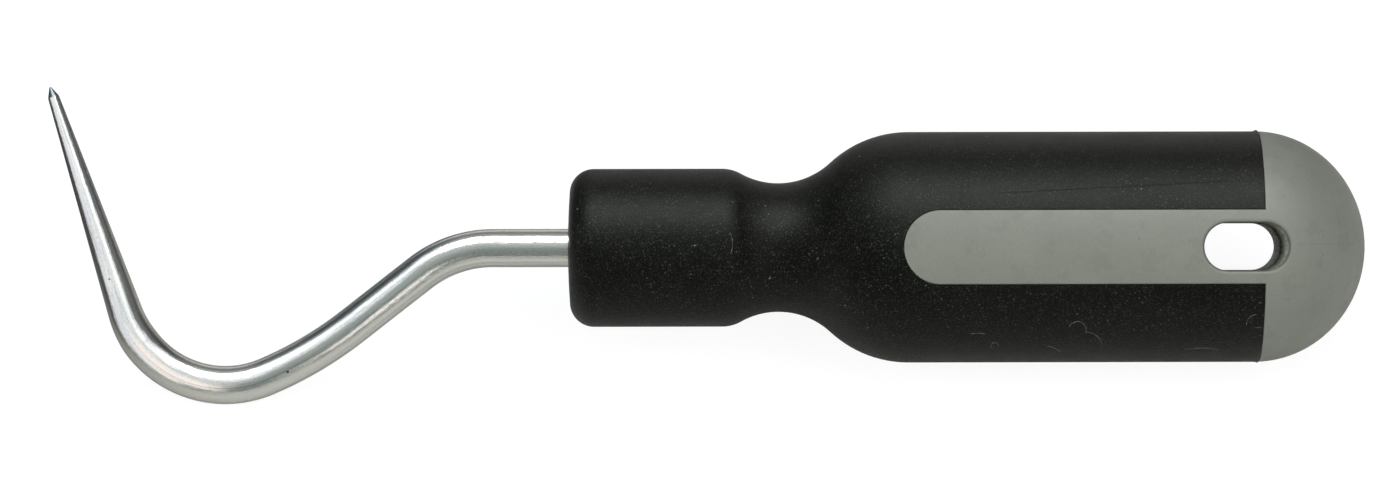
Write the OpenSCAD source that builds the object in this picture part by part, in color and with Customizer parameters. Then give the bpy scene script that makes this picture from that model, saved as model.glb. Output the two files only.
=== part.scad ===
// Dismantling hook: a pointed steel hook held in a round handle, which has a
// hard body and a soft grip moulded over it.
// The tool is drawn along X, with the front face of the handle at x = 0, the
// butt at +X and the hook bent in the XZ plane. It is then laid down as it
// comes to rest, on the barrel of the handle and the bend of the rod.

/* [Rod] */
// Radius of the round steel rod
rod_r = 3; // [2:0.1:4]
// Length of rod held inside the handle
tang_l = 80; // [72:1:92]
// Straight length of rod in front of the handle
shank_l = 11.85; // [4:0.05:30]
// Radius of the first bend, which leads the rod down
drop_bend_r = 18.5; // [10:0.5:30]
// Angle of the first bend
drop_bend_angle = 37.85; // [25:0.05:45]
// Straight length after the first bend
drop_l = 13.52; // [5:0.02:30]
// Radius of the easing bend, which starts to level the rod
ease_bend_r = 60; // [30:1:90]
// Angle of the easing bend
ease_bend_angle = 15; // [5:1:20]
// Radius of the hook bend, which turns the rod up
hook_bend_r = 16.5; // [10:0.5:25]
// Angle of the hook bend
hook_bend_angle = 94.5; // [80:0.5:110]
// Straight length of the leg, up to the tip
leg_l = 37.42; // [20:0.02:50]

/* [Point] */
// Length of the taper, measured back from the tip
taper_l = 42.5; // [10:0.5:50]
// Length of the steep cone at the tip
point_l = 1.63; // [0.5:0.01:4]
// Radius where the steep cone begins
point_r = 0.89; // [0.3:0.01:1.5]
// Radius of the blunted tip
tip_r = 0.12; // [0.05:0.01:0.25]

/* [Wings on the tang] */
// Distance from the front face to the wings
wing_x = 56; // [40:1:58]
// Length of the wings
wing_l = 12; // [8:1:15]
// Width across both wings
wing_w = 10; // [8:0.5:14]
// Thickness of the wings
wing_t = 1.8; // [1:0.1:3]
// Length of the slope at each end of the wings
wing_slope = 3; // [1:0.5:4]

/* [Handle outline] */
// Length of the handle
handle_l = 125; // [115:1:140]
// Radius of the collar at the front
collar_r = 12.4; // [11:0.1:14]
// Radius of the rounded front corner
corner_r = 3.8; // [3:0.1:6]
// Height of the bulge of the front face
face_crown = 0.3; // [0.1:0.1:1]
// Radius of the rounded edge at the back of the collar
collar_edge_r = 6; // [4:0.5:8]
// Radius of the neck at its narrowest
neck_r = 10.1; // [9:0.1:10.8]
// Distance from the front face to the narrowest place
neck_x = 33; // [28:1:36]
// Radius of the hollow curve of the neck
neck_curve_r = 12; // [9:0.5:16]
// Radius of the rounded shoulder in front of the barrel
shoulder_r = 18; // [12:0.5:22]
// Radius of the barrel behind the shoulder
barrel_r = 18.1; // [16:0.1:20]
// Length of the domed butt
dome_l = 17.3; // [14:0.1:20]

/* [Grip] */
// Length of the grip from the front face
grip_l = 108.3; // [106:0.1:112]
// Thickness of the soft layer
soft_t = 2.5; // [1.5:0.1:2.8]

/* [Inlay] */
// Width of the hard strip that shows in each side of the grip
inlay_w = 11.5; // [9:0.1:14]
// Distance from the front face to the rounded end of the strip
inlay_x = 52.3; // [45:0.05:70]

/* [Hanging slot] */
// Length of the slot through the butt
slot_l = 13.2; // [10:0.1:15]
// Width of the slot
slot_w = 7.4; // [5:0.1:8.5]
// Distance from the front face to the middle of the slot
slot_x = 105.4; // [100:0.1:110]

/* [Fits] */
// Gap between the rod and the hard and soft parts around it
rod_gap = 0.02; // [0.01:0.01:0.1]

/* [Hidden] */

steel = [0.78, 0.78, 0.77];
hard_grey = [0.52, 0.53, 0.49];
soft_black = [0.15, 0.15, 0.13];

$fn = 64;
arc_step = 5;
bend_step = 4;
crown_steps = 4;
rod_sides = 32;
cut = 1;

bore_r = rod_r + rod_gap;
face_r = collar_r - corner_r;
dome_x = handle_l - dome_l;
neck_centre_r = neck_r + neck_curve_r;
collar_rise = neck_centre_r - collar_r + collar_edge_r;
collar_turn = acos(collar_rise / (collar_edge_r + neck_curve_r));
collar_x = neck_x - (collar_edge_r + neck_curve_r) * sin(collar_turn);
barrel_rise = neck_centre_r - barrel_r + shoulder_r;
barrel_turn = acos(barrel_rise / (shoulder_r + neck_curve_r));
barrel_x = neck_x + (shoulder_r + neck_curve_r) * sin(barrel_turn);

// Each stretch of the rod, from the tang to the tip, as [length, turn]
function bend(r, turn) = [r * abs(turn) * PI / 180, turn];
stretches = [
    [tang_l + shank_l, 0],
    bend(drop_bend_r, drop_bend_angle),
    [drop_l, 0],
    bend(ease_bend_r, -ease_bend_angle),
    bend(hook_bend_r, -hook_bend_angle),
    [leg_l, 0]
];
dive_angle = drop_bend_angle - ease_bend_angle;
bend_depth = drop_bend_r * (1 - cos(drop_bend_angle)) + drop_l * sin(drop_bend_angle)
    + ease_bend_r * (cos(dive_angle) - cos(drop_bend_angle)) + hook_bend_r * (1 - cos(dive_angle));

// The tool rolls until the barrel and the bend of the rod both touch the ground
lean = acos((barrel_r - rod_r) / bend_depth);

function start_of(i) = i == 0 ? 0 : start_of(i - 1) + stretches[i - 1][0];
rod_l = start_of(len(stretches));

// Where the rod is after a length s of one stretch, which begins at p = [x, z, heading]
function along(p, length, turn, s) =
    turn == 0
    ? [p[0] + s * cos(p[2]), p[1] + s * sin(p[2]), p[2]]
    : let (r = length / turn * 180 / PI, h = p[2] + turn * s / length)
        [p[0] + r * (sin(h) - sin(p[2])), p[1] - r * (cos(h) - cos(p[2])), h];

function end_of(i) =
    i < 0 ? [tang_l, 0, 180] : along(end_of(i - 1), stretches[i][0], stretches[i][1], stretches[i][0]);

function place_at(s, i = 0) =
    i == len(stretches) - 1 || s <= start_of(i + 1)
    ? along(end_of(i - 1), stretches[i][0], stretches[i][1], s - start_of(i))
    : place_at(s, i + 1);

// Full radius, then a slow taper to the point, then the steep cone
function rod_radius(s) =
    let (left = rod_l - s)
    left >= taper_l ? rod_r
    : left >= point_l ? point_r + (rod_r - point_r) * (left - point_l) / (taper_l - point_l)
    : tip_r + (point_r - tip_r) * left / point_l;

function sorted(v) =
    len(v) < 2 ? v
    : let (middle = v[floor(len(v) / 2)])
        concat(
            sorted([for (a = v) if (a < middle) a]),
            [middle],
            sorted([for (a = v) if (a > middle) a])
        );

ring_places = sorted(concat(
    [
        for (i = [0 : len(stretches) - 1])
        let (n = max(1, ceil(abs(stretches[i][1]) / bend_step)))
        for (k = [0 : n - 1]) start_of(i) + stretches[i][0] * k / n
    ],
    [rod_l - taper_l, rod_l - point_l, rod_l]
));

function rod_ring(s) =
    let (p = place_at(s), r = rod_radius(s))
    [
        for (k = [0 : rod_sides - 1])
        let (a = 360 * k / rod_sides)
        [p[0] - r * cos(a) * sin(p[2]), r * sin(a), p[1] + r * cos(a) * cos(p[2])]
    ];

rod_points = [for (s = ring_places) for (q = rod_ring(s)) q];
rod_faces = concat(
    [[for (k = [rod_sides - 1 : -1 : 0]) k]],
    [
        for (i = [0 : len(ring_places) - 2])
        for (k = [0 : rod_sides - 1])
        let (a = i * rod_sides + k, b = i * rod_sides + (k + 1) % rod_sides)
        [a, b, b + rod_sides, a + rod_sides]
    ],
    [[for (k = [0 : rod_sides - 1]) (len(ring_places) - 1) * rod_sides + k]]
);

// The middle of the tool's box on the ground
rod_y = [for (p = rod_points) p[1] * cos(lean) + p[2] * sin(lean)];
middle_x = (min([for (p = rod_points) p[0]]) + handle_l) / 2;
middle_y = (min(min(rod_y), -barrel_r) + max(max(rod_y), barrel_r)) / 2;

// Points of an arc, for outlines written as [radius, x] or [x, z]
function arc(centre, r, a0, a1) =
    let (n = max(2, ceil(abs(a1 - a0) / arc_step)))
    [for (k = [0 : n]) let (a = a0 + (a1 - a0) * k / n) centre + r * [cos(a), sin(a)]];

// The dome is half an ellipse, and angle a on it is 0 where the barrel ends
function dome_point(a) = [barrel_r * cos(a), dome_x + dome_l * sin(a)];
grip_end_angle = asin(max(0, grip_l - dome_x) / dome_l);

// Outline from the front face to the barrel, drawn in by t, from radius from_r
function front_outline(t, from_r) = concat(
    [
        for (k = [0 : crown_steps - 1])
        let (r = from_r + (face_r - from_r) * k / crown_steps)
        [r, t + face_crown * pow(r / face_r, 2)]
    ],
    arc([face_r, face_crown + corner_r], corner_r - t, -90, 0),
    arc([collar_r - collar_edge_r, collar_x], collar_edge_r - t, 0, collar_turn),
    arc([neck_centre_r, neck_x], neck_curve_r + t, 180 + collar_turn, 180 - barrel_turn),
    arc([barrel_r - shoulder_r, barrel_x], shoulder_r - t, -barrel_turn, 0)
);

// The barrel on from there to the end of the grip, drawn in by t
function barrel_outline(t) =
    let (n = ceil(grip_end_angle / arc_step))
    concat(
        [for (k = [0 : 1 : n - 1]) dome_point(grip_end_angle * k / n) - [t, 0]],
        [[barrel_r * cos(grip_end_angle) - t, grip_l]]
    );

// The butt on from the end of the grip to the axis
function butt_outline() =
    let (n = ceil((90 - grip_end_angle) / arc_step))
    concat(
        grip_l < dome_x ? [[barrel_r, dome_x]] : [],
        [for (k = [1 : n - 1]) dome_point(grip_end_angle + (90 - grip_end_angle) * k / n)],
        [[0, handle_l]]
    );

function reversed(v) = [for (k = [len(v) - 1 : -1 : 0]) v[k]];

// A strip with its front end rounded, as far back as x1
function strip_outline(x0, x1, w) = concat(
    arc([x0 + w / 2, 0], w / 2, 90, 270),
    [[x1, -w / 2], [x1, w / 2]]
);

function slot_outline() = concat(
    arc([slot_x - slot_l / 2 + slot_w / 2, 0], slot_w / 2, 90, 270),
    arc([slot_x + slot_l / 2 - slot_w / 2, 0], slot_w / 2, -90, 90)
);

function wing_outline(gap) = [
    for (side = [1, -1])
    for (q = [[0, 0], [wing_slope, 1], [wing_l - wing_slope, 1], [wing_l, 0]])
    let (end = side * (q[0] - wing_l / 2))
    let (root = rod_r / 2)
    [
        wing_x + wing_l / 2 + end + sign(end) * gap,
        side * (root + (wing_w / 2 - root + gap) * q[1])
    ]
];

// Lays the tool down, with its box centred on the origin and its lowest points at z = 0
module laid_down() {
    translate([-middle_x, -middle_y, barrel_r]) rotate([-lean, 0, 0]) children();
}

// Turns an outline of [radius, x] points round the axis of the handle
module turned(points) {
    rotate([0, 90, 0]) rotate_extrude() polygon(points);
}

// Extrudes an outline of [x, z] points evenly to both sides of the XZ plane
module across(points, width) {
    rotate([90, 0, 0]) linear_extrude(height = width, center = true) polygon(points);
}

module tang_wings(gap) {
    across(wing_outline(gap), wing_t + 2 * gap);
}

module hook() {
    color(steel) laid_down() union() {
        polyhedron(points = rod_points, faces = rod_faces);
        tang_wings(0);
    }
}

module inlays() {
    intersection() {
        turned(concat([[0, 0]], front_outline(0, bore_r), barrel_outline(0), [[0, grip_l]]));
        across(strip_outline(inlay_x, grip_l + cut, inlay_w), 2 * barrel_r + cut);
    }
}

module rod_pocket() {
    rotate([0, 90, 0]) cylinder(r = bore_r, h = tang_l + rod_gap);
    tang_wings(rod_gap);
}

module handle_core() {
    under_grip = concat([[0, soft_t]], front_outline(soft_t, bore_r), barrel_outline(soft_t));
    butt = concat([[barrel_r * cos(grip_end_angle), grip_l]], butt_outline());
    color(hard_grey) laid_down() difference() {
        union() {
            turned(concat(under_grip, butt));
            inlays();
        }
        across(slot_outline(), 2 * barrel_r + cut);
        rod_pocket();
    }
}

module grip() {
    outside = concat(front_outline(0, bore_r), barrel_outline(0));
    inside = concat(front_outline(soft_t, bore_r), barrel_outline(soft_t));
    color(soft_black) laid_down() difference() {
        turned(concat(outside, reversed(inside)));
        across(strip_outline(inlay_x, grip_l + cut, inlay_w), 2 * barrel_r + cut);
    }
}

hook();
handle_core();
grip();
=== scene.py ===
"""The looks of a dismantling hook: a pointed steel hook in a round two-part handle.

Shapes are worked out in millimetres in the tool's own frame, as in the CAD source: x runs
from the front face of the handle to the butt, z is up in the plane of the hook, and the
side that the camera sees faces -y. They are laid down in metres at the end.
"""

import math

import bmesh
import bpy
import numpy as np
from mathutils import Matrix, Vector
from mathutils.geometry import delaunay_2d_cdt


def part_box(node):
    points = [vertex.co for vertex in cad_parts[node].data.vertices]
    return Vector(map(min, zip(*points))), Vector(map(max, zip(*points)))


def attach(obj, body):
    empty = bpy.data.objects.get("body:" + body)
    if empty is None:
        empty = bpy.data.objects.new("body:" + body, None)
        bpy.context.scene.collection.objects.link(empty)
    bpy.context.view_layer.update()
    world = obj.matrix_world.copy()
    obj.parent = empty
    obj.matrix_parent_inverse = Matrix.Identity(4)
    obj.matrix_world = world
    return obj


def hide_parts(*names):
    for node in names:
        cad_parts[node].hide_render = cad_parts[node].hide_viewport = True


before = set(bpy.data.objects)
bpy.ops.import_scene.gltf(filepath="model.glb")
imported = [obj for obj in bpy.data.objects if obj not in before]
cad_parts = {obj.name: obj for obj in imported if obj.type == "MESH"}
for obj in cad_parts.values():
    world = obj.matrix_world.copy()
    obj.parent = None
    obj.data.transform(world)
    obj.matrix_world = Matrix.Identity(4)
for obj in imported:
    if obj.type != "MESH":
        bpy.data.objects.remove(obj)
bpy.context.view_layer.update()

# Sizes of the CAD source, in millimetres and degrees
ROD_R = 3.0
TANG_L = 80.0
SHANK_L = 11.85
DROP_BEND_R, DROP_BEND_A = 18.5, 37.85
DROP_L = 13.52
EASE_BEND_R, EASE_BEND_A = 60.0, 15.0
HOOK_BEND_R, HOOK_BEND_A = 16.5, 94.5
LEG_L = 37.42
TAPER_L = 42.5
POINT_L = 1.63
POINT_R = 0.89
TIP_R = 0.13
WING_X, WING_L, WING_W, WING_T, WING_SLOPE = 56.0, 12.0, 10.0, 1.8, 3.0
HANDLE_L = 125.0
COLLAR_R = 12.4
CORNER_R = 3.8
FACE_CROWN = 0.3
COLLAR_EDGE_R = 6.0
NECK_R, NECK_X, NECK_CURVE_R = 10.1, 33.0, 12.0
SHOULDER_R = 18.0
BARREL_R = 18.1
DOME_L = 17.3
GRIP_L = 108.3
SOFT_T = 2.5
INLAY_W, INLAY_X = 11.5, 52.3
SLOT_L, SLOT_W, SLOT_X = 13.2, 7.4, 105.4
ROD_GAP = 0.02

# Sizes that follow from them
FACE_R = COLLAR_R - CORNER_R
DOME_X = HANDLE_L - DOME_L
NECK_CENTRE_R = NECK_R + NECK_CURVE_R
COLLAR_TURN = math.acos((NECK_CENTRE_R - COLLAR_R + COLLAR_EDGE_R) / (COLLAR_EDGE_R + NECK_CURVE_R))
COLLAR_X = NECK_X - (COLLAR_EDGE_R + NECK_CURVE_R) * math.sin(COLLAR_TURN)
BARREL_TURN = math.acos((NECK_CENTRE_R - BARREL_R + SHOULDER_R) / (SHOULDER_R + NECK_CURVE_R))
BARREL_X = NECK_X + (SHOULDER_R + NECK_CURVE_R) * math.sin(BARREL_TURN)
INLAY_HALF = INLAY_W / 2
INLAY_CENTRE_X = INLAY_X + INLAY_HALF
SLOT_HALF = SLOT_W / 2
SLOT_REACH = SLOT_L / 2 - SLOT_HALF

# The part between these two places is meshed round the windows and the slot, on a grid
ZONE_FRONT = 48.0
ZONE_BACK = 114.0
GRID = 1.0
COLUMNS = np.radians(np.linspace(-90, 90, 73))

# Rounded edges: the grip's and the strip's, the slot's, and the mouth of the bore
EDGE_R = 0.14
RIM_R = 0.7
MOUTH_R = 0.3

# How softly the cone of the point runs into the taper, and the taper into the rod
POINT_SOFT, TAPER_SOFT = 0.05, 0.02

# Rings of the rod: about the step and the turn in degrees between two, the least gap, the
# sides, the number over the wings, and the lengths left before the tip at the point
RING_STEP, RING_TURN, RING_GAP, RING_SIDES = 1.6, 1.5, 0.2, 96
WING_RINGS = 25
POINT_RINGS = (3.4, 2.9, 2.4, 2.1, 1.9, 1.75, 1.63, 1.5, 1.35, 1.1, 0.85, 0.6, 0.4, 0.2, 0.1, 0.05)

# Places of the bore's rings beside those over the wings, and the number of those
BORE_RINGS, BORE_WING_RINGS = (20.0, 40.0, 60.0), 21

# How far the middle of the blunt tip stands out
TIP_CAP = 0.03

# Metres in a millimetre, and the grid in millimetres on which points are taken as one
MM = 0.001
JOIN = 2e-5


def bend(radius, turn):
    return radius * math.radians(abs(turn)), turn


STRETCHES = (
    (TANG_L + SHANK_L, 0),
    bend(DROP_BEND_R, DROP_BEND_A),
    (DROP_L, 0),
    bend(EASE_BEND_R, -EASE_BEND_A),
    bend(HOOK_BEND_R, -HOOK_BEND_A),
    (LEG_L, 0),
)
ROD_L = sum(length for length, turn in STRETCHES)


def along_one(x, z, heading, length, turn, share):
    """The place and heading at a share of one stretch that starts at x, z"""
    if turn == 0:
        run = share * length
        return x + run * math.cos(heading), z + run * math.sin(heading), heading
    radius = length / math.radians(turn)
    h = heading + math.radians(turn) * share
    over, along = math.sin(h) - math.sin(heading), math.cos(h) - math.cos(heading)
    return x + radius * over, z - radius * along, h


def lowest_bend():
    """How far the hook's bend reaches below the axis of the handle"""
    x, z, heading = TANG_L, 0.0, math.pi
    low = 0.0
    for length, turn in STRETCHES:
        for share in np.linspace(0, 1, 200)[1:]:
            low = min(low, along_one(x, z, heading, length, turn, share)[1])
        x, z, heading = along_one(x, z, heading, length, turn, 1)
    return -low


LEAN = math.acos((BARREL_R - ROD_R) / lowest_bend())
_, core_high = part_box("handle_core")
grip_low, grip_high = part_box("grip")
MIDDLE_X = HANDLE_L - core_high.x / MM
MIDDLE_Y = -(grip_low.y + grip_high.y) / 2 / MM


def laid_down(points):
    """Turns points of the tool's own frame, in millimetres, to places on the ground, in metres"""
    x, y, z = np.moveaxis(np.asarray(points, float), -1, 0)
    c, s = math.cos(LEAN), math.sin(LEAN)
    return np.stack((x - MIDDLE_X, y * c + z * s - MIDDLE_Y, BARREL_R - y * s + z * c), -1) * MM


def leaned(directions):
    """Turns directions of the tool's own frame to those of the ground"""
    x, y, z = np.moveaxis(np.asarray(directions, float), -1, 0)
    c, s = math.cos(LEAN), math.sin(LEAN)
    return np.stack((x, y * c + z * s, z * c - y * s), -1)


def unit(vectors):
    """The same directions, each with a length of one"""
    return vectors / np.linalg.norm(vectors, axis=-1, keepdims=True)


def added(name, data):
    """A new object, linked into the scene"""
    obj = bpy.data.objects.new(name, data)
    bpy.context.scene.collection.objects.link(obj)
    return obj


class Shell:
    """The points, normals, pattern places and faces of one closed mesh"""

    def __init__(self):
        self.points, self.normals, self.places, self.faces = [], [], [], []
        self.count = 0

    def add(self, points, normals, places=None):
        """Adds an array of points and returns their numbers in the same shape"""
        shape = points.shape[:-1]
        size = int(np.prod(shape))
        self.points.append(points.reshape(-1, 3))
        self.normals.append(normals.reshape(-1, 3))
        self.places.append((points if places is None else places).reshape(-1, 3))
        self.count += size
        return np.arange(self.count - size, self.count).reshape(shape)

    def stitch(self, rows, closed=False):
        """Adds the faces between neighbouring rows of point numbers"""
        if closed:
            rows = np.concatenate((rows, rows[:, :1]), axis=1)
        a, b = rows[:-1], rows[1:]
        quads = np.stack((a[:, :-1], a[:, 1:], b[:, 1:], b[:, :-1]), -1)
        self.faces.extend(quads.reshape(-1, 4).tolist())

    def fill(self, faces, numbers):
        """Adds faces whose corners are given as places in a list of point numbers"""
        self.faces.extend([[int(numbers[k]) for k in face] for face in faces])

    def fan(self, ring, middle):
        """Closes a ring of points with triangles to one point"""
        for k, number in enumerate(ring):
            self.faces.append([int(number), int(ring[(k + 1) % len(ring)]), int(middle)])

    def doubled(self):
        """Adds the far half, which mirrors the near one"""
        turn = np.array((1.0, -1.0, 1.0))
        self.points += [p * turn for p in self.points]
        self.normals += [n * turn for n in self.normals]
        self.places += [p * turn for p in self.places]
        self.faces += [[k + self.count for k in face] for face in self.faces]
        self.count *= 2

    def piece(self, name, material, node, slot):
        """Joins the points that coincide and makes the piece, which stands for a CAD node"""
        parts = (self.points, self.normals, self.places)
        points, normals, places = (np.concatenate(part) for part in parts)
        keys = np.round(points / JOIN).astype(np.int64)
        _, first, number = np.unique(keys, axis=0, return_index=True, return_inverse=True)
        number = number.reshape(-1)
        total = np.zeros((len(first), 3))
        np.add.at(total, number, normals)
        total /= np.maximum(np.linalg.norm(total, axis=1), 1e-9)[:, None]
        faces = []
        for face in self.faces:
            joined = [int(number[k]) for k in face]
            joined = [k for i, k in enumerate(joined) if k != joined[i - 1]]
            if len(set(joined)) == len(joined) > 2:
                faces.append(joined)
        mesh = bpy.data.meshes.new(name)
        mesh.from_pydata(laid_down(points[first]).tolist(), [], faces)
        shape = bmesh.new()
        shape.from_mesh(mesh)
        bmesh.ops.recalc_face_normals(shape, faces=shape.faces)
        shape.to_mesh(mesh)
        shape.free()
        mesh.polygons.foreach_set("use_smooth", [True] * len(mesh.polygons))
        mesh.normals_split_custom_set_from_vertices(leaned(total).tolist())
        place = mesh.attributes.new("place", "FLOAT_VECTOR", "POINT")
        place.data.foreach_set("vector", places[first].astype(np.float32).ravel())
        mesh.materials.append(material)
        obj = added(name, mesh)
        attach(obj, "root")
        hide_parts(node)


# The rod


def rod_centre(s):
    """Place and heading on the rod's centre line, a length s from the end of the tang"""
    x, z, heading = TANG_L, 0.0, math.pi
    for i, (length, turn) in enumerate(STRETCHES):
        if s <= length or i == len(STRETCHES) - 1:
            return along_one(x, z, heading, length, turn, s / length)
        x, z, heading = along_one(x, z, heading, length, turn, 1)
        s -= length


def lesser(a, b, soft):
    """The lesser of two radii, with the corner between them rounded"""
    return (a + b - math.sqrt((a - b) ** 2 + soft**2)) / 2


def rod_radius(left):
    """Radius of the rod a length left before the tip"""
    taper = POINT_R + (ROD_R - POINT_R) * (left - POINT_L) / (TAPER_L - POINT_L)
    cone = TIP_R + (POINT_R - TIP_R) * left / POINT_L
    steep = lesser(taper, cone, POINT_SOFT)
    return lesser(steep, ROD_R, TAPER_SOFT) if left > POINT_L * 2 else steep


def wing_reach(x):
    """Half the width across the wings at a place x on the axis"""
    inside = min(x - WING_X, WING_X + WING_L - x)
    share = min(1, inside / WING_SLOPE)
    return ROD_R / 2 + (WING_W / 2 - ROD_R / 2) * share if inside >= 0 else 0.0


def tang_section(radius, reach, half_thick, angles):
    """Radius at each angle of a round rod with wings, where an angle is 0 on the wings' line"""
    c, s = np.abs(np.cos(angles)), np.abs(np.sin(angles))
    wings = np.minimum(reach / np.maximum(c, 1e-9), half_thick / np.maximum(s, 1e-9))
    return np.maximum(radius, wings)


def rod_places():
    """Lengths along the rod at which a ring is drawn"""
    steps = []
    start = 0.0
    for length, turn in STRETCHES:
        n = max(int(length / RING_STEP), int(abs(turn) / RING_TURN), 1)
        steps.extend(start + length * np.arange(n) / n)
        start += length
    wings = TANG_L - np.linspace(WING_X + WING_L, WING_X, WING_RINGS)
    point = ROD_L - np.array(POINT_RINGS)
    kept = [s for s in steps if s < point[0] - RING_GAP and np.abs(wings - s).min() > RING_GAP]
    return np.array(sorted([*kept, *wings, *point]))


def rod_shell():
    """The rod with its tang, wings and point"""
    shell = Shell()
    angles = np.radians(np.arange(RING_SIDES) * 360 / RING_SIDES)
    cos, sin = np.cos(angles), np.sin(angles)
    near = 0.02
    rows, row_normals, row_places = [], [], []
    for s in rod_places():
        x, z, heading = rod_centre(s)
        left = ROD_L - s
        reach = wing_reach(TANG_L - s) if s < TANG_L else 0.0
        r = tang_section(rod_radius(left), reach, WING_T / 2, angles)
        slope = (rod_radius(left - near) - rod_radius(left + near)) / (2 * near)
        across = np.stack((-cos * math.sin(heading), sin, cos * math.cos(heading)), -1)
        ahead = np.array((math.cos(heading), 0, math.sin(heading)))
        rows.append(np.array((x, 0, z)) + across * r[:, None])
        row_normals.append(across - ahead * slope)
        row_places.append(np.stack((np.full(RING_SIDES, s), r * sin, r * cos), -1))
    numbers = shell.add(np.array(rows), unit(np.array(row_normals)), np.array(row_places))
    shell.stitch(numbers, closed=True)
    # The blunt end of the point, and the flat end of the tang
    x, z, heading = rod_centre(ROD_L)
    ahead = np.array([[math.cos(heading), 0, math.sin(heading)]])
    tip = shell.add(np.array([[x, 0, z]]) + ahead * TIP_CAP, ahead, np.array([[ROD_L, 0.0, 0.0]]))
    shell.fan(numbers[-1], tip[0])
    behind = np.array([[1.0, 0.0, 0.0]])
    end = shell.add(behind * TANG_L, behind, np.array([[0.0, 0.0, 0.0]]))
    shell.fan(numbers[0], end[0])
    return shell


# The handle's outline


def arc_rows(centre_r, centre_x, radius, a0, a1, step=3.0, hollow=False):
    """Rows of [radius, x, normal radius, normal x] along an arc of an outline"""
    n = max(2, int(abs(math.degrees(a1 - a0)) / step))
    a = np.linspace(a0, a1, n + 1)
    c, s = np.cos(a), np.sin(a)
    side = -1 if hollow else 1
    return np.stack((centre_r + radius * c, centre_x + radius * s, side * c, side * s), -1)


def front_rows(inset):
    """The outline from the mouth of the bore to the zone round the windows, drawn in by inset"""
    start = ROD_R + ROD_GAP
    r = np.linspace(start + MOUTH_R, FACE_R, 8)[:-1]
    rise, slope = FACE_CROWN * (r / FACE_R) ** 2, 2 * FACE_CROWN * r / FACE_R**2
    face = np.stack((r, inset + rise, slope, np.full(len(r), -1.0)), -1)
    mouth_x = face[0, 1] + MOUTH_R
    mouth = arc_rows(start + MOUTH_R, mouth_x, MOUTH_R, math.pi, 1.5 * math.pi, 18)
    corner = arc_rows(FACE_R, FACE_CROWN + CORNER_R, CORNER_R - inset, -math.pi / 2, 0)
    straight = np.linspace(FACE_CROWN + CORNER_R, COLLAR_X, 16)[1:-1]
    n = len(straight)
    collar = np.stack((np.full(n, COLLAR_R - inset), straight, np.ones(n), np.zeros(n)), -1)
    edge = arc_rows(COLLAR_R - COLLAR_EDGE_R, COLLAR_X, COLLAR_EDGE_R - inset, 0, COLLAR_TURN)
    turns = math.pi + COLLAR_TURN, math.pi - BARREL_TURN
    neck = arc_rows(NECK_CENTRE_R, NECK_X, NECK_CURVE_R + inset, *turns, hollow=True)
    turns = -BARREL_TURN, -math.asin((BARREL_X - ZONE_FRONT) / (SHOULDER_R - inset))
    shoulder = arc_rows(BARREL_R - SHOULDER_R, BARREL_X, SHOULDER_R - inset, *turns)
    return np.concatenate((mouth[:-1], face, corner, collar, edge, neck[1:], shoulder[1:]))


def barrel(x, inset=0.0):
    """Radius and slope of the barrel and the dome at x, drawn in by inset"""
    x = np.asarray(x, float)
    radius = SHOULDER_R - inset
    before = np.minimum(x - BARREL_X, 0)
    past = np.clip((x - DOME_X) / DOME_L, 0, 0.9999)
    rise, dome = np.sqrt(radius**2 - before**2), np.sqrt(1 - past**2)
    r = BARREL_R - SHOULDER_R + rise + BARREL_R * (dome - 1)
    return r, -before / rise - BARREL_R / DOME_L * past / dome


def turned(rows):
    """Points and normals of an outline turned half round the axis, over the near side"""
    r, x, nr, nx = (v[:, None] for v in rows.T)
    c, s = np.cos(COLUMNS), np.sin(COLUMNS)
    points = np.stack((x + 0 * c, -r * c, r * s), -1)
    normals = np.stack((nx + 0 * c, -nr * c, nr * s), -1)
    return points, unit(normals)


def skin(x, angle, inset=0.0):
    """Points and normals of the barrel and dome at places x and angles round the axis"""
    r, slope = barrel(x, inset)
    points = np.stack((x, -r * np.cos(angle), r * np.sin(angle)), -1)
    normals = np.stack((-slope, -np.cos(angle), np.sin(angle)), -1)
    return points, unit(normals)


# The windows' walls run straight in, which shifts the angles on the under side. The shift fades
# out over some degrees up to a last angle, and over a length at the front end of the zone
WALL_LAST, WALL_FADE, WALL_RUN = 55, 30, 2.5


def under_skin(x, angle):
    """The places on the under side of the soft layer that lie straight below those on its skin"""
    r, _ = barrel(x)
    under_r, _ = barrel(x, SOFT_T)
    share = np.clip((np.radians(WALL_LAST) - np.abs(angle)) / np.radians(WALL_FADE), 0, 1)
    share = share * share * (3 - 2 * share) * np.clip((x - ZONE_FRONT) / WALL_RUN, 0, 1)
    straight = np.arcsin(np.clip(r * np.sin(angle) / under_r, -1, 1))
    return skin(x, angle + (straight - angle) * share, SOFT_T)


# The windows, the back edge of the grip and the slot

# Points along each part of the windows' line and of the slot's
EDGE_POINTS, RUN_POINTS, WINDOW_TURN_POINTS = 34, 50, 61
SLOT_TURN_POINTS, SLOT_RUN_POINTS = 37, 11


def quarter(radius, n=5):
    """Distance in from an edge and depth below the skin, along a rounded edge from its foot"""
    a = np.linspace(math.pi / 2, 0, n)
    return radius * (1 - np.sin(a)), radius * (1 - np.cos(a)), a


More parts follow.
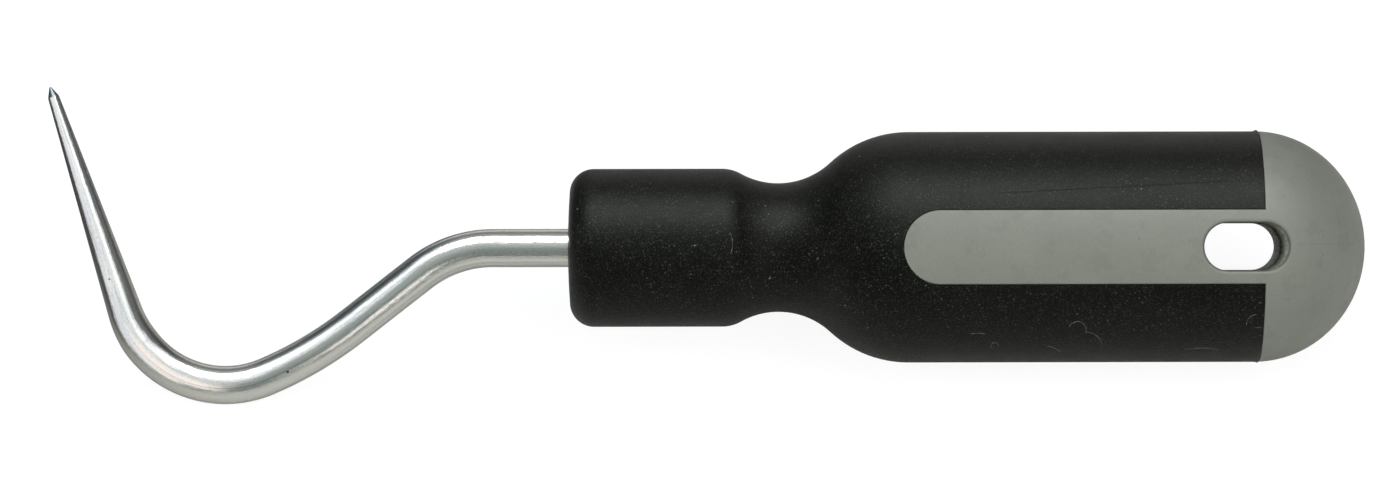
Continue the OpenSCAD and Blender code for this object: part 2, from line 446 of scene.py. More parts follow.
def window_line(shift):
    """The line along the grip's back edge and round its window, moved by shift into the grip.

    Gives the place x, the angle and the direction out of the grip."""
    half = INLAY_HALF + shift
    back = GRIP_L - shift
    corner = math.asin(half / float(barrel(back)[0]))
    ease = (1 - np.cos(np.linspace(0, math.pi, EDGE_POINTS))) / 2
    edge = -math.pi / 2 + (math.pi / 2 - corner) * ease[:-1]
    straight = np.full(len(edge), back)
    run = np.linspace(back, INLAY_CENTRE_X, RUN_POINTS)
    turn = np.radians(np.linspace(-90, -270, WINDOW_TURN_POINTS))[1:-1]
    x = np.concatenate((straight, run, INLAY_CENTRE_X + half * np.cos(turn), run[::-1], straight))
    z = np.concatenate((np.full(len(run), -half), half * np.sin(turn), np.full(len(run), half)))
    side = np.arcsin(z / barrel(x[len(edge) : -len(edge)])[0])
    angle = np.concatenate((edge, side, -edge[::-1]))
    out = np.zeros((len(x), 3))
    n = len(edge)
    m = n + RUN_POINTS
    out[:n, 0] = out[-n:, 0] = 1
    out[n:m, 2] = 1
    out[-m:-n, 2] = -1
    out[m:-m, 0] = -np.cos(turn)
    out[m:-m, 2] = -np.sin(turn)
    out[n, 0] = out[-n - 1, 0] = 1
    return x, angle, unit(out)


def in_window(x, z, shift):
    """Whether a place shows the hard body, with the line moved by shift into the grip"""
    half = INLAY_HALF + shift
    strip = (np.abs(z) < half) & ((x > INLAY_CENTRE_X) | (np.hypot(x - INLAY_CENTRE_X, z) < half))
    return (x > GRIP_L - shift) | strip


def slot_line(shift):
    """The line round the slot, moved out by shift, with the direction into the slot"""
    half = SLOT_HALF + shift
    turn = np.radians(np.linspace(90, 270, SLOT_TURN_POINTS))
    run = np.linspace(-1, 1, SLOT_RUN_POINTS + 2)[1:-1] * SLOT_REACH
    level = np.full(len(run), half)
    end_x, end_z = half * np.cos(turn), half * np.sin(turn)
    x = np.concatenate((-SLOT_REACH + end_x, run, SLOT_REACH - end_x, -run))
    z = np.concatenate((end_z, -level, -end_z, level))
    middle = np.clip(x, -SLOT_REACH, SLOT_REACH)
    into = np.stack((middle - x, 0 * x, -z), -1)
    return SLOT_X + x, z, unit(into)


def in_slot(x, z, shift):
    """Whether a place lies in the slot, with its line moved out by shift"""
    off = np.abs(x - SLOT_X) - SLOT_REACH
    return np.hypot(np.maximum(off, 0), z) < SLOT_HALF + shift


def unrolled(x, angle):
    """Places on the barrel as if it were rolled out flat"""
    return np.stack((x, angle * BARREL_R), -1)


def fill_between(lines, inner, keep):
    """Triangles over a region of the unrolled barrel, between closed lines, through inner points"""
    points = [p for line in lines for p in line]
    edges, start = [], 0
    for line in lines:
        n = len(line)
        edges.extend((start + k, start + (k + 1) % n) for k in range(n))
        start += n
    points.extend(inner)
    corners = [Vector(p) for p in points]
    places, _, faces, origin, _, _ = delaunay_2d_cdt(corners, edges, [], 0, 1e-7, True)
    number = [min(o) if o else -1 for o in origin]
    if min(number) < 0:
        raise ValueError("the lines of a filled region cross")
    middle = np.array([[sum(places[k][i] for k in f) / len(f) for i in (0, 1)] for f in faces])
    kept = keep(middle[:, 0], middle[:, 1] / BARREL_R)
    return np.array(points), [[number[k] for k in f] for f, good in zip(faces, kept) if good]


# The grid's points end a little short of the seam between the two halves, at this angle, and
# keep these distances from the rows beside the grip's edge and the body's
SEAM_A, GRIP_ROOM, BODY_ROOM = 1.565, 0.55, 0.4


def inner_points(x0, x1, keep, extra=()):
    """A staggered grid of points in a region, where keep says so"""
    found = []
    for i, x in enumerate(np.linspace(x0, x1, int((x1 - x0) / GRID) + 1)[1:-1]):
        angles = COLUMNS if i % 2 == 0 else (COLUMNS[1:] + COLUMNS[:-1]) / 2
        angles = angles[np.abs(angles) < SEAM_A]
        xs = np.full(len(angles), x)
        good = keep(xs, angles)
        found.extend(unrolled(xs[good], angles[good]))
    found.extend(extra)
    return found


def spaced(a, b, step):
    """Even steps of about one size between two values"""
    n = max(1, round(abs(b - a) / step))
    return np.linspace(a, b, n + 1)


# Distances from the edge at which the rows of points beside it lie
GRIP_STEPS = (EDGE_R, 0.27, 0.42, 0.65, 0.95)
BODY_STEPS = (EDGE_R, 0.36)
SLOT_STEPS = (RIM_R, 0.95)


def z_of(x, angle):
    return barrel(x)[0] * np.sin(angle)


# The two lumps of flash: place and height of the upper and of the lower one, and the length
# and width of both. The mesh is finer there: its step, and its reach along and round the handle
NUB_X, NUB_HIGH = 108.0, 0.22
NUB_LOW_X, NUB_LOW_HIGH = 108.2, 0.14
NUB_LONG, NUB_WIDE = 0.32, 0.5
NUB_STEP, NUB_REACH, NUB_SIDE = 0.2, 1.2, 1.5


def nub(x, angle):
    """Height of the two small lumps of flash where the grip's parting line meets its back edge"""
    off = (math.pi / 2 - np.abs(angle)) * BARREL_R
    middle = np.where(angle > 0, NUB_X, NUB_LOW_X)
    high = np.where(angle > 0, NUB_HIGH, NUB_LOW_HIGH)
    return high * np.exp(-(((x - middle) / NUB_LONG) ** 2) - (off / NUB_WIDE) ** 2)


def grip_skin(x, angle):
    """The grip's outside, with the two lumps"""
    points, normals = skin(x, angle)
    step = 0.01
    lift = nub(x, angle)
    lean_x = (nub(x + step, angle) - lift) / step
    points = points + normals * lift[..., None]
    normals = normals.copy()
    normals[..., 0] -= lean_x
    return points, unit(normals)


def window_ring(shell, side, surface, steps):
    """Adds the rounded edge along the window, from its foot out over the skin.

    Gives the numbers of the points at its foot."""
    rows, normals = [], []
    ins, downs, tilts = quarter(EDGE_R)
    level = np.zeros(len(steps) - 1)
    ins = np.concatenate((ins, steps[1:]))
    downs, tilts = np.concatenate((downs, level)), np.concatenate((tilts, level))
    for shift, down, tilt in zip(ins, downs, tilts):
        x, angle, out = window_line(side * shift)
        points, up = surface(x, angle)
        under, _ = under_skin(x, angle)
        rows.append(points + unit(under - points) * down)
        normals.append(unit(up * math.cos(tilt) + side * out * math.sin(tilt)))
    numbers = shell.add(np.array(rows), np.array(normals))
    shell.stitch(numbers)
    return numbers[0]


def grip_region():
    """The faces of the grip's share of the zone, on the unrolled barrel"""
    shift = GRIP_STEPS[-1]
    x, angle, _ = window_line(shift)
    back = x[0]
    seam = spaced(ZONE_FRONT, back, GRID)[1:-1]
    line = np.concatenate((
        unrolled(np.full(len(COLUMNS), ZONE_FRONT), COLUMNS),
        unrolled(seam, np.full(len(seam), math.pi / 2)),
        unrolled(x[::-1], angle[::-1]),
        unrolled(seam[::-1], np.full(len(seam), -math.pi / 2)),
    ))
    parting = math.pi / 2 * BARREL_R
    fine = []
    for off in np.arange(NUB_STEP, NUB_SIDE + NUB_STEP, NUB_STEP):
        for fine_x in np.arange(NUB_X - NUB_REACH, back - NUB_STEP / 2, NUB_STEP):
            fine.extend([(fine_x, parting - off), (fine_x, off - parting)])

    def room(x, angle):
        beside = parting - np.abs(angle) * BARREL_R < NUB_SIDE + 2 * NUB_STEP
        near_nub = (x > NUB_X - NUB_REACH - 2 * NUB_STEP) & beside
        return ~in_window(x, z_of(x, angle), shift + GRIP_ROOM) & ~near_nub

    inner = inner_points(ZONE_FRONT, GRIP_L, room, fine)
    return fill_between([line], inner, lambda x, angle: ~in_window(x, z_of(x, angle), shift))


def body_region():
    """The faces of the hard body's share of the zone, on the unrolled barrel"""
    shift = BODY_STEPS[-1]
    x, angle, _ = window_line(-shift)
    back = x[0]
    seam = spaced(back, ZONE_BACK, GRID)[1:-1]
    line = np.concatenate((
        unrolled(x, angle),
        unrolled(seam, np.full(len(seam), math.pi / 2)),
        unrolled(np.full(len(COLUMNS), ZONE_BACK), COLUMNS[::-1]),
        unrolled(seam[::-1], np.full(len(seam), -math.pi / 2)),
    ))
    slot_x, slot_z, _ = slot_line(SLOT_STEPS[-1])
    slot = unrolled(slot_x, np.arcsin(slot_z / barrel(slot_x)[0]))

    def room(x, angle):
        z = z_of(x, angle)
        clear = ~in_slot(x, z, SLOT_STEPS[-1] + BODY_ROOM)
        return in_window(x, z, -shift - BODY_ROOM) & clear

    def keep(x, angle):
        z = z_of(x, angle)
        return in_window(x, z, -shift) & ~in_slot(x, z, SLOT_STEPS[-1])

    return fill_between([line, slot], inner_points(INLAY_X, ZONE_BACK, room), keep)


def add_region(shell, region, surface):
    """Lays the faces of a flat region on a surface"""
    flat, faces = region
    points, normals = surface(flat[:, 0], flat[:, 1] / BARREL_R)
    shell.fill(faces, shell.add(points, normals))


def inset_side(shell, region, outward):
    """The under side of the soft layer, or the hidden skin of the body that fills it"""
    side = 1 if outward else -1
    points, normals = turned(front_rows(SOFT_T))
    shell.stitch(shell.add(points, normals * side))
    add_region(shell, region, under_skin)
    ins = np.concatenate((quarter(EDGE_R)[0], GRIP_STEPS[1:]))
    lines = []
    for shift in ins:
        x, angle, _ = window_line(shift)
        lines.append(under_skin(x, angle))
    ring = shell.add(np.array([p for p, n in lines]), np.array([n * side for p, n in lines]))
    shell.stitch(ring)
    return ring[0]


def grip_shell(region):
    """The soft layer, as a closed skin with an outside and an under side"""
    shell = Shell()
    outside, inside = front_rows(0.0), front_rows(SOFT_T)
    shell.stitch(shell.add(*turned(outside)))
    add_region(shell, region, grip_skin)
    foot = window_ring(shell, 1, grip_skin, GRIP_STEPS)
    under = inset_side(shell, region, False)
    shell.stitch(np.array([foot, under]))
    bore = np.array([outside[0], inside[0]])
    bore[:, 2:] = (-1, 0)
    shell.stitch(shell.add(*turned(bore)))
    shell.doubled()
    return shell


def flash(x, z):
    """How far the thin ragged flash in the middle of the slot reaches in from its round back end"""
    turn = np.arctan2(z, x - SLOT_X)
    ragged = 0.5 + 0.3 * np.sin(5 * turn + 0.6) + 0.25 * np.sin(13 * turn + 2.0)
    ragged += 0.18 * np.sin(29 * turn)
    return (0.12 + 0.2 * np.clip(ragged, 0, 1)) * np.clip((np.cos(turn) - 0.75) / 0.2, 0, 1)


# Depths at which the slot's wall has its rows, and how thick the flash in its middle is
SLOT_DEPTHS = (-11.0, -7.0, -4.0, -2.2, -1.2, -0.7, -0.42, -0.28, -0.16, -0.06, 0.0)
FLASH_T = 0.2


def slot_wall(shell):
    """The slot's rounded rim and its wall as far as the middle of the body"""
    rows, normals = [], []
    ins, downs, tilts = quarter(RIM_R, 7)
    ins = np.concatenate(([SLOT_STEPS[-1]], ins[::-1]))
    downs = np.concatenate(([0], downs[::-1]))
    tilts = np.concatenate(([0], tilts[::-1]))
    for shift, down, tilt in zip(ins, downs, tilts):
        x, z, into = slot_line(shift)
        points, up = skin(x, np.arcsin(z / barrel(x)[0]))
        rows.append(points + np.array((0, down, 0)))
        normals.append(unit(up * math.cos(tilt) + into * math.sin(tilt)))
    x, z, into = slot_line(0.0)
    ragged = flash(x, z)
    for depth in SLOT_DEPTHS:
        reach = ragged * np.exp(-((depth / FLASH_T) ** 2))
        rows.append(np.stack((x, np.full(len(x), depth), z), -1) + into * reach[:, None])
        lean = reach * 2 * depth / FLASH_T**2 * (abs(depth) < 3 * FLASH_T)
        normals.append(unit(into + np.array((0, 1.0, 0)) * lean[:, None]))
    shell.stitch(shell.add(np.array(rows), np.array(normals)), closed=True)


def core_shell(grip_faces, body_faces):
    """The hard body: its skin, the slot and the bore for the tang"""
    shell = Shell()
    under = inset_side(shell, grip_faces, True)
    foot = window_ring(shell, -1, skin, BODY_STEPS)
    shell.stitch(np.array([foot, under]))
    add_region(shell, body_faces, skin)
    slot_wall(shell)
    start = math.asin((ZONE_BACK - DOME_X) / DOME_L)
    a = np.linspace(start, math.pi / 2, 26)
    r, x = BARREL_R * np.cos(a), DOME_X + DOME_L * np.sin(a)
    r[-1] = 0
    dome = np.stack((r, x, np.cos(a) / BARREL_R, np.sin(a) / DOME_L), -1)
    shell.stitch(shell.add(*turned(dome)))
    # The bore for the tang, with room for its wings
    wings = np.linspace(WING_X - ROD_GAP, WING_X + WING_L + ROD_GAP, BORE_WING_RINGS)
    places = sorted({front_rows(SOFT_T)[0, 1], *BORE_RINGS, *wings, TANG_L + ROD_GAP})
    rows, row_normals = [], []
    angles = math.pi / 2 - COLUMNS
    for x in places:
        r = tang_section(ROD_R + ROD_GAP, wing_reach(x) + ROD_GAP, WING_T / 2 + ROD_GAP, angles)
        if not WING_X < x < WING_X + WING_L:
            r = np.full(len(angles), ROD_R + ROD_GAP)
        rows.append(np.stack((np.full(len(r), x), -r * np.sin(angles), r * np.cos(angles)), -1))
        row_normals.append(np.stack((0 * r, np.sin(angles), -np.cos(angles)), -1))
    end = np.zeros((1, len(COLUMNS), 3))
    end[..., 0] = TANG_L + ROD_GAP
    rows = np.concatenate((np.array(rows), end))
    row_normals = np.concatenate((np.array(row_normals), np.array((-1.0, 0, 0)) + 0 * end))
    shell.stitch(shell.add(rows, row_normals))
    shell.doubled()
    return shell


# Materials

# A pit and a small stain on the rod: length along it, depth and height in its section
PIT, PIT_R = (129.8, -2.9, 0.76), 0.24
STAIN, STAIN_R = (166.35, -2.36, 0.59), 0.18

# Fibres on the grip: place x and z of an arc's middle, its radius, and the angles it runs between
FIBRE_R = 0.042
FIBRES = (
    (22.2, 0.6, 3.6, -22, 28),
    (79.3, -13.0, 1.4, 0, 150),
    (80.7, -15.9, 2.65, 15, 90),
    (107.1, -12.1, 1.55, 95, 180),
    (107.4, -17.7, 5.1, 84, 96),
    (98.9, -28.7, 12.9, 79, 101),
    (63.9, -19.6, 6.2, 80, 100),
    (74.1, -20.1, 4.7, 55, 82),
    (66.6, -15.4, 0.55, 0, 230),
)

# The two ends of the scratch, each as x and z, and half its width
SCRATCH = (61.5, 8.1, 108.0, 10.4, 0.11)

# Factors that lay a place flat on the plane of the hook
FLAT = (1.0, 0.0, 1.0)


class Nodes:
    """Short ways to add the nodes of one material or world"""

    def __init__(self, tree):
        self.tree = tree
        tree.nodes.clear()

    def add(self, kind, inputs=(), **settings):
        node = self.tree.nodes.new(kind)
        for key, value in settings.items():
            setattr(node, key, value)
        for key, value in dict(inputs).items():
            if isinstance(value, bpy.types.NodeSocket):
                self.tree.links.new(value, node.inputs[key])
            else:
                node.inputs[key].default_value = value
        return node

    def math(self, operation, *values):
        return self.add("ShaderNodeMath", enumerate(values), operation=operation).outputs[0]

    def both(self, a, b):
        """The product of two values"""
        return self.math("MULTIPLY", a, b)

    def vector(self, operation, *values):
        node = self.add("ShaderNodeVectorMath", enumerate(values), operation=operation)
        single = operation in ("LENGTH", "DISTANCE", "DOT_PRODUCT")
        return node.outputs["Value" if single else "Vector"]

    def noise(self, place, scale, detail, rough):
        inputs = {"Vector": place, "Scale": scale, "Detail": detail, "Roughness": rough}
        return self.add("ShaderNodeTexNoise", inputs).outputs["Fac"]

    def streaks(self, place, scales, detail, rough):
        """Noise with a scale of its own along each axis"""
        return self.noise(self.vector("MULTIPLY", place, scales), 1.0, detail, rough)

    def span(self, value, low, high, to_low=0.0, to_high=1.0):
        """Maps a value softly from one range to another, kept inside it"""
        inputs = {"Value": value, "From Min": low, "From Max": high}
        inputs |= {"To Min": to_low, "To Max": to_high}
        node = self.add("ShaderNodeMapRange", inputs, interpolation_type="SMOOTHSTEP")
        return node.outputs["Result"]

    def mix(self, share, a, b):
        node = self.add("ShaderNodeMix", data_type="RGBA", clamp_factor=True)
        for key, value in ((0, share), (6, a), (7, b)):
            if isinstance(value, bpy.types.NodeSocket):
                self.tree.links.new(value, node.inputs[key])
            else:
                node.inputs[key].default_value = value
        return node.outputs[2]

    def bump(self, height, strength, distance, normal=None):
        inputs = {"Height": height, "Strength": strength, "Distance": distance}
        if normal is not None:
            inputs["Normal"] = normal
        return self.add("ShaderNodeBump", inputs).outputs["Normal"]

    def place(self):
        return self.add("ShaderNodeAttribute", attribute_name="place").outputs["Vector"]

    def parts(self, vector):
        return self.add("ShaderNodeSeparateXYZ", {"Vector": vector}).outputs

    def specks(self, place, size, radius):
        """Scattered dots of a radius, about size apart, each with a strength of its own"""
        cells = self.add("ShaderNodeTexVoronoi", {"Vector": place, "Scale": 1 / size}).outputs
        dot = self.span(cells["Distance"], 0.5 * radius / size, radius / size, 1.0, 0.0)
        return self.both(dot, self.parts(cells["Color"])[0])

    def dot(self, place, centre, radius):
        """One round mark"""
        return self.span(self.vector("DISTANCE", place, centre), 0.5 * radius, radius, 1.0, 0.0)

    def arc(self, place, x, z, radius, start, end, half_width):
        """A thin arc in the plane of the hook, between two angles in degrees"""
        off = self.vector("SUBTRACT", place, (x, 0.0, z))
        away = self.math("ABSOLUTE", self.math("SUBTRACT", self.vector("LENGTH", off), radius))
        middle, half = math.radians((start + end) / 2), math.radians((end - start) / 2)
        along = self.vector("DOT_PRODUCT", off, (math.cos(middle), 0.0, math.sin(middle)))
        line = self.span(away, 0.4 * half_width, half_width, 1.0, 0.0)
        inside = self.span(along, radius * math.cos(1.15 * half), radius * math.cos(half))
        return self.both(line, inside)

    def stroke(self, place, x0, z0, x1, z1, half_width):
        """A thin straight line in the plane of the hook, fading out at its ends"""
        length = math.hypot(x1 - x0, z1 - z0)
        run, rise = (x1 - x0) / length, (z1 - z0) / length
        off = self.vector("SUBTRACT", place, ((x0 + x1) / 2, 0.0, (z0 + z1) / 2))
        away = self.math("ABSOLUTE", self.vector("DOT_PRODUCT", off, (-rise, 0.0, run)))
        along = self.math("ABSOLUTE", self.vector("DOT_PRODUCT", off, (run, 0.0, rise)))
        line = self.span(away, 0.4 * half_width, half_width, 1.0, 0.0)
        return self.both(line, self.span(along, 0.3 * length, 0.5 * length, 1.0, 0.0))

    def most(self, values):
        """The greatest of some values"""
        found = values[0]
        for value in values[1:]:
            found = self.math("MAXIMUM", found, value)
        return found


def colour(r, g, b):
    return (r, g, b, 1.0)


def new_material(name):
    material = bpy.data.materials.new(name)
    material.use_nodes = True
    return material, Nodes(material.node_tree)


def finish_material(nodes, base, rough, bump, settings):
    inputs = {"Base Color": base, "Roughness": rough, "Normal": bump, **settings}
    shader = nodes.add("ShaderNodeBsdfPrincipled", inputs)
    nodes.add("ShaderNodeOutputMaterial", {"Surface": shader.outputs["BSDF"]})


def steel_material():
    """Drawn and polished rod: lines along it, a pit and a stain, and a duller ground point with
    painted shade on it
    """
    material, n = new_material("polished_steel")
    place = n.place()
    lines = n.streaks(place, (0.018, 2.4, 2.4), 4.0, 0.6)
    fine = n.streaks(place, (0.35, 7.0, 7.0), 2.0, 0.6)
    grain = n.noise(place, 4.0, 3.0, 0.6)
    cloud = n.noise(place, 0.25, 3.0, 0.6)
    pits = n.most([n.dot(place, PIT, PIT_R), n.dot(place, STAIN, STAIN_R)])
    dark = n.math("ADD", n.span(lines, 0.5, 0.66, 0.0, 0.5), n.span(grain, 0.45, 0.7, 0.0, 0.5))
    tint = n.mix(n.span(cloud, 0.35, 0.65), colour(0.70, 0.70, 0.69), colour(0.73, 0.71, 0.68))
    tint = n.mix(n.both(dark, 0.75), tint, colour(0.40, 0.41, 0.40))
    cream = n.streaks(place, (0.012, 1.7, 1.7), 3.0, 0.55)
    tint = n.mix(n.span(cream, 0.5, 0.62, 0.0, 0.6), tint, colour(0.82, 0.775, 0.72))
    tint = n.mix(pits, tint, colour(0.06, 0.05, 0.04))
    # The ground point is rougher, and its dark tint is painted shade
    dull_shaded_point = n.span(n.parts(place)[0], ROD_L - POINT_L - 0.1, ROD_L - POINT_L + 0.1)
    tint = n.mix(dull_shaded_point, tint, colour(0.16, 0.18, 0.19))
    rough = n.math("ADD", n.span(lines, 0.35, 0.65, 0.08, 0.16), n.span(cloud, 0.4, 0.7, 0.0, 0.04))
    rough = n.math("MULTIPLY_ADD", dull_shaded_point, 0.25, rough)
    bump = n.bump(fine, 0.12, 0.0002)
    bump = n.bump(grain, 0.1, 0.0001, bump)
    bump = n.bump(pits, -0.6, 0.0002, bump)
    rim_tint = colour(0.8, 0.8, 0.78)
    finish_material(n, tint, rough, bump, {"Metallic": 1.0, "Specular Tint": rim_tint})
    return material


def plastic_material():
    """Satin moulded plastic: faint clouds and smudges, dark specks, a trace of the parting line"""
    material, n = new_material("hard_grey_plastic")
    place = n.place()
    flat = n.vector("MULTIPLY", place, FLAT)
    cloud = n.noise(place, 0.1, 3.0, 0.55)
    mottle = n.noise(place, 0.9, 3.0, 0.6)
    grain = n.noise(place, 4.5, 2.0, 0.6)
    base = n.mix(n.span(cloud, 0.3, 0.7), colour(0.166, 0.171, 0.145), colour(0.181, 0.186, 0.158))
    base = n.mix(n.span(mottle, 0.35, 0.75, 0.0, 0.2), base, colour(0.145, 0.15, 0.128))
    base = n.mix(n.span(grain, 0.4, 0.7, 0.0, 0.22), base, colour(0.23, 0.236, 0.205))
    smudge = n.noise(place, 0.3, 4.0, 0.6)
    base = n.mix(n.span(smudge, 0.56, 0.62, 0.0, 0.25), base, colour(0.13, 0.135, 0.115))
    seam = n.stroke(flat, DOME_X + 4.0, 0.35, HANDLE_L - 1.0, 0.35, 0.12)
    base = n.mix(n.both(seam, 0.2), base, colour(0.10, 0.10, 0.09))
    base = n.mix(n.both(n.specks(place, 3.2, 0.2), 0.7), base, colour(0.05, 0.05, 0.045))
    # The slot's wall is painted paler at its back end, which is painted light, with ragged marks of
    # the plastic in it; a darker line under its rim is painted shade
    x, y, z = n.parts(place)
    past = n.math("SUBTRACT", n.math("ABSOLUTE", n.math("SUBTRACT", x, SLOT_X)), SLOT_REACH)
    out = n.math("MAXIMUM", past, 0.0)
    reach = n.math("SQRT", n.math("ADD", n.both(out, out), n.both(z, z)))
    back = n.span(x, SLOT_X + 1.5, SLOT_X + 4.0)
    # Painted light: the paler back end of the slot's wall, broken up by ragged marks
    wall_light_and_ragged = n.both(n.span(reach, SLOT_HALF + 0.04, SLOT_HALF + 0.12, 1.0, 0.0), back)
    ragged = n.streaks(place, (3.0, 0.35, 3.0), 2.0, 0.6)
    wall_light_and_ragged = n.both(wall_light_and_ragged, n.span(ragged, 0.42, 0.58, 0.35, 1.0))
    base = n.mix(wall_light_and_ragged, base, colour(0.55, 0.55, 0.46))
    # Painted shade: a dark line on the wall just under the slot's rim
    painted_rim_shadow = n.span(reach, SLOT_HALF + 0.1, SLOT_HALF + 0.28, 1.0, 0.0)
    painted_rim_shadow = n.both(painted_rim_shadow, n.span(n.math("ABSOLUTE", y), 14.6, 16.2, 0.0, 0.8))
    base = n.mix(painted_rim_shadow, base, colour(0.07, 0.07, 0.055))
    bump = n.bump(grain, 0.12, 0.0001)
    bump = n.bump(mottle, 0.06, 0.0006, bump)
    bump = n.bump(seam, 0.15, 0.0001, bump)
    rough = n.span(mottle, 0.3, 0.7, 0.46, 0.52)
    finish_material(n, base, rough, bump, {"IOR": 1.42})
    return material


def rubber_material():
    """Dull black rubber: fine grain, dust, a few fibres that cling to it and one long scratch"""
    material, n = new_material("soft_black_rubber")
    place = n.place()
    flat = n.vector("MULTIPLY", place, FLAT)
    near = n.span(n.parts(place)[1], -0.5, 0.5, 1.0, 0.0)
    cloud = n.noise(place, 0.15, 3.0, 0.55)
    grain = n.noise(place, 4.5, 2.0, 0.7)
    deep, worn = colour(0.0010, 0.0011, 0.0007), colour(0.0020, 0.0021, 0.0014)
    base = n.mix(n.span(cloud, 0.3, 0.7), deep, worn)
    base = n.mix(n.span(grain, 0.54, 0.74), base, colour(0.040, 0.042, 0.031))
    scratch = n.both(n.stroke(flat, *SCRATCH), near)
    fibres = n.both(n.most([n.arc(flat, *fibre, FIBRE_R) for fibre in FIBRES]), near)
    fibres = n.both(fibres, n.span(n.noise(place, 1.6, 2.0, 0.6), 0.4, 0.6, 0.3, 0.75))
    fall = n.span(cloud, 0.42, 0.62, 0.15, 1.0)
    fine_dust = n.both(n.specks(place, 0.6, 0.12), n.both(fall, 0.4))
    dust = n.most([fine_dust, n.both(n.specks(place, 2.0, 0.17), fall), fibres])
    base = n.mix(n.both(dust, 0.75), base, colour(0.30, 0.30, 0.27))
    base = n.mix(scratch, base, colour(0.0015, 0.0015, 0.0012))
    bump = n.bump(grain, 0.7, 0.0001)
    bump = n.bump(scratch, -0.5, 0.0001, bump)
    rough = n.math("MULTIPLY_ADD", scratch, 0.22, n.span(cloud, 0.3, 0.7, 0.36, 0.42))
    finish_material(n, base, rough, bump, {"IOR": 1.245, "Specular Tint": colour(0.97, 1.0, 0.93)})
    return material


# The scene

# Tints of the lamps, and how far in front of the plane of the hook the panels stand
PLAIN, COOL, LILAC = (1.0, 1.0, 1.0), (0.91, 0.965, 1.0), (0.93, 0.94, 1.0)
CREAM, WARM, GREEN = (1.0, 0.88, 0.85), (1.0, 0.97, 0.93), (0.98, 1.0, 0.96)
PANEL_OUT = 50.0


def floor():
    """A plain pale floor. To the camera it is lifted to white and keeps the shadow. Reflections
    see a painted colour on it: pale near the tool, a band behind it as painted light, and dark
    farther off as painted shade"""
    mesh = bpy.data.meshes.new("floor")
    h = 20.0
    mesh.from_pydata([(-h, -h, 0), (h, -h, 0), (h, h, 0), (-h, h, 0)], [], [(0, 1, 2, 3)])
    material, n = new_material("white_floor")
    plain = n.add("ShaderNodeBsdfDiffuse", {"Color": colour(0.82, 0.81, 0.79)})
    ray = n.add("ShaderNodeLightPath").outputs
    position = n.add("ShaderNodeNewGeometry").outputs["Position"]
    # Painted reflection: what reflections see of the floor is pale near the tool, cream in a band
    # behind it, which is painted light, and dark farther off, which is painted shade
    away = n.vector("DISTANCE", position, (0.06, -0.09, 0.0))
    painted_reflection_colour = n.mix(n.span(away, 0.14, 0.22), colour(0.55, 0.55, 0.51), colour(0.08, 0.08, 0.08))
    across, deep, _ = n.parts(position)
    aside = n.math("ABSOLUTE", n.math("SUBTRACT", across, 0.04))
    behind = n.both(n.span(aside, 0.09, 0.13, 1.0, 0.0), n.span(deep, 0.14, 0.2))
    painted_reflection_colour = n.mix(behind, painted_reflection_colour, colour(0.9, 0.83, 0.74))
    shade = n.mix(ray["Is Glossy Ray"], colour(0.12, 0.12, 0.12), painted_reflection_colour)
    shaded = n.add("ShaderNodeBsdfDiffuse", {"Color": shade})
    through = n.math("ADD", ray["Is Camera Ray"], ray["Is Transmission Ray"])
    strength = n.both(through, 0.92)
    lift = n.add("ShaderNodeEmission", {"Color": colour(1, 1, 1), "Strength": strength})
    seen = n.add("ShaderNodeAddShader", {0: shaded.outputs["BSDF"], 1: lift.outputs["Emission"]})
    direct = n.math("ADD", through, ray["Is Glossy Ray"])
    surfaces = {0: direct, 1: plain.outputs["BSDF"], 2: seen.outputs["Shader"]}
    mixed = n.add("ShaderNodeMixShader", surfaces)
    n.add("ShaderNodeOutputMaterial", {"Surface": mixed.outputs["Shader"]})
    mesh.materials.append(material)
    added("floor", mesh)


def surroundings():
    """A soft studio: bright overhead and at the horizon behind, dim low in front and aside"""
    world = bpy.data.worlds.new("studio")
    bpy.context.scene.world = world
    world.use_nodes = True
    n = Nodes(world.node_tree)
    direction = n.add("ShaderNodeTexCoord").outputs["Generated"]
    x, y, z = n.parts(direction)
    turn = n.math("ARCTAN2", z, n.both(y, -1.0))
    ramp = n.add("ShaderNodeValToRGB", {"Fac": n.math("DIVIDE", turn, math.pi)})
    # The stops run from the horizon in front, over the top, to the horizon behind
    cool, plain, pale = (0.86, 1.0, 0.96), (1.0, 1.0, 1.0), (0.94, 0.99, 1.0)
    stops = (
        (0.0, 0.29, cool), (0.16, 0.31, cool), (0.22, 0.36, cool), (0.287, 0.48, cool),
        (0.353, 0.62, pale), (0.40, 0.8, pale), (0.66, 0.7, pale), (0.74, 0.42, pale),
        (0.82, 0.24, cool), (0.90, 0.3, plain), (0.96, 0.95, plain), (1.0, 1.0, plain),
    )
    elements = ramp.color_ramp.elements
    while len(elements) < len(stops):
        elements.new(0.5)
    for element, (position, value, tint) in zip(elements, stops):
        element.position = position
        element.color = colour(*(value * t for t in tint))
    side = n.span(n.math("ABSOLUTE", x), 0.15, 0.65, 1.0, 0.27)
    blue = n.mix(n.span(x, -0.6, -0.15), colour(0.86, 0.97, 1.08), colour(1, 1, 1))
    tinted = n.vector("MULTIPLY", ramp.outputs["Color"], blue)
    light = n.add("ShaderNodeBackground", {"Color": tinted, "Strength": side})
    n.add("ShaderNodeOutputWorld", {"Surface": light.outputs["Background"]})


def seat(obj, place, axes):
    """Stands a lamp or the camera at a place, with its own three axes along these directions"""
    obj.matrix_world = Matrix.Translation(Vector(place)) @ Matrix(axes).transposed().to_4x4()


def lamp(name, width, height, radiance, tint):
    """A flat lamp of a size in metres that looks as bright as its radiance says"""
    data = bpy.data.lights.new(name, "AREA")
    data.shape = "RECTANGLE"
    data.size, data.size_y = width, height
    data.color = tint
    data.energy = 4 * width * height * radiance
    obj = added(name, data)
    obj.visible_camera = False
    return obj


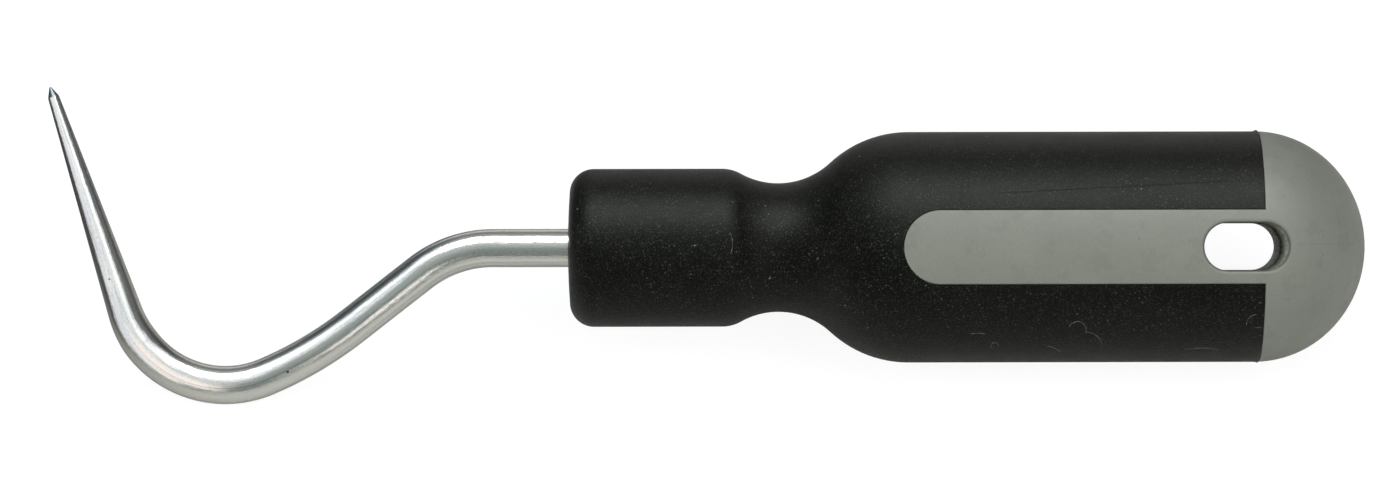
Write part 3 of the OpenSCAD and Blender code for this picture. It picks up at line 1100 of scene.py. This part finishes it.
def soft_light(name, left, up, distance, width, height, radiance, tint=PLAIN):
    """A soft lamp, placed by its angles to the left of and above the line to the camera"""
    obj = lamp(name, width, height, radiance, tint)
    left, up = math.radians(left), math.radians(up)
    level = math.cos(up)
    back = Vector(leaned((-math.sin(left) * level, -math.cos(left) * level, math.sin(up))))
    across = Vector(leaned((math.cos(left), -math.sin(left), 0)))
    seat(obj, back * distance, (across, back.cross(across), back))
    return obj


def front_panel(name, x0, x1, z0, z1, radiance, tint):
    """A lamp that only reflections see, in front of the plane of the hook, between two corners"""
    obj = lamp(name, (x1 - x0) * MM, (z1 - z0) * MM, radiance, tint)
    obj.visible_diffuse = False
    place = laid_down(((x0 + x1) / 2, -PANEL_OUT, (z0 + z1) / 2))
    seat(obj, place, tuple(leaned(v) for v in ((1, 0, 0), (0, 0, 1), (0, -1, 0))))


def camera():
    """The photo's view, square on to the plane of the hook"""
    data = bpy.data.cameras.new("camera")
    distance = 1240.0
    view_width = 219.78
    target_x, target_z = 20.72, -0.36
    roll = math.radians(0.12)
    data.sensor_width = 36.0
    data.lens = data.sensor_width * distance / view_width
    data.clip_start, data.clip_end = 0.05, 60.0
    obj = added("camera", data)
    c, s = math.cos(roll), math.sin(roll)
    axes = tuple(leaned(v) for v in ((c, 0, -s), (s, 0, c), (0, -1, 0)))
    seat(obj, laid_down((target_x, -distance, target_z)), axes)
    bpy.context.scene.camera = obj


grip_faces = grip_region()
body_faces = body_region()
rod_shell().piece("steel_hook", steel_material(), "hook", "polished_steel")
core = core_shell(grip_faces, body_faces)
core.piece("handle_body", plastic_material(), "handle_core", "hard_grey_plastic")
grip_shell(grip_faces).piece("soft_grip", rubber_material(), "grip", "soft_black_rubber")
floor()
surroundings()
soft_light("top_light", 0, 55.5, 3.0, 4.5, 1.78, 0.95, COOL)
soft_light("top_core", 0, 54.5, 2.9, 2.3, 1.25, 5.2, GREEN).visible_diffuse = False
soft_light("right_fill", -38, 8, 2.5, 1.4, 1.4, 4.1).visible_glossy = False
soft_light("left_fill", 50, 4, 2.5, 1.4, 1.4, 4.9).visible_glossy = False
soft_light("right_light", -26, -17.5, 2.5, 0.95, 1.48, 1.0, WARM).visible_diffuse = False
soft_light("right_core", -24, 19, 2.5, 1.05, 1.7, 0.78, COOL).visible_diffuse = False
front_panel("bend_panel", -90.0, -57.7, -58.0, -14.0, 0.76, CREAM)
front_panel("root_panel", -90.0, -57.7, -14.0, 60.0, 0.52, LILAC)
front_panel("leg_panel", -260.0, -90.0, -58.0, 60.0, 0.8, LILAC)
front_panel("low_panel", -260.0, -85.0, -105.0, -58.0, 0.8, WARM)
front_panel("corner_panel", -57.7, -45.0, 5.0, 60.0, 0.6, COOL)
camera()
bpy.context.scene.view_settings.view_transform = "Standard"
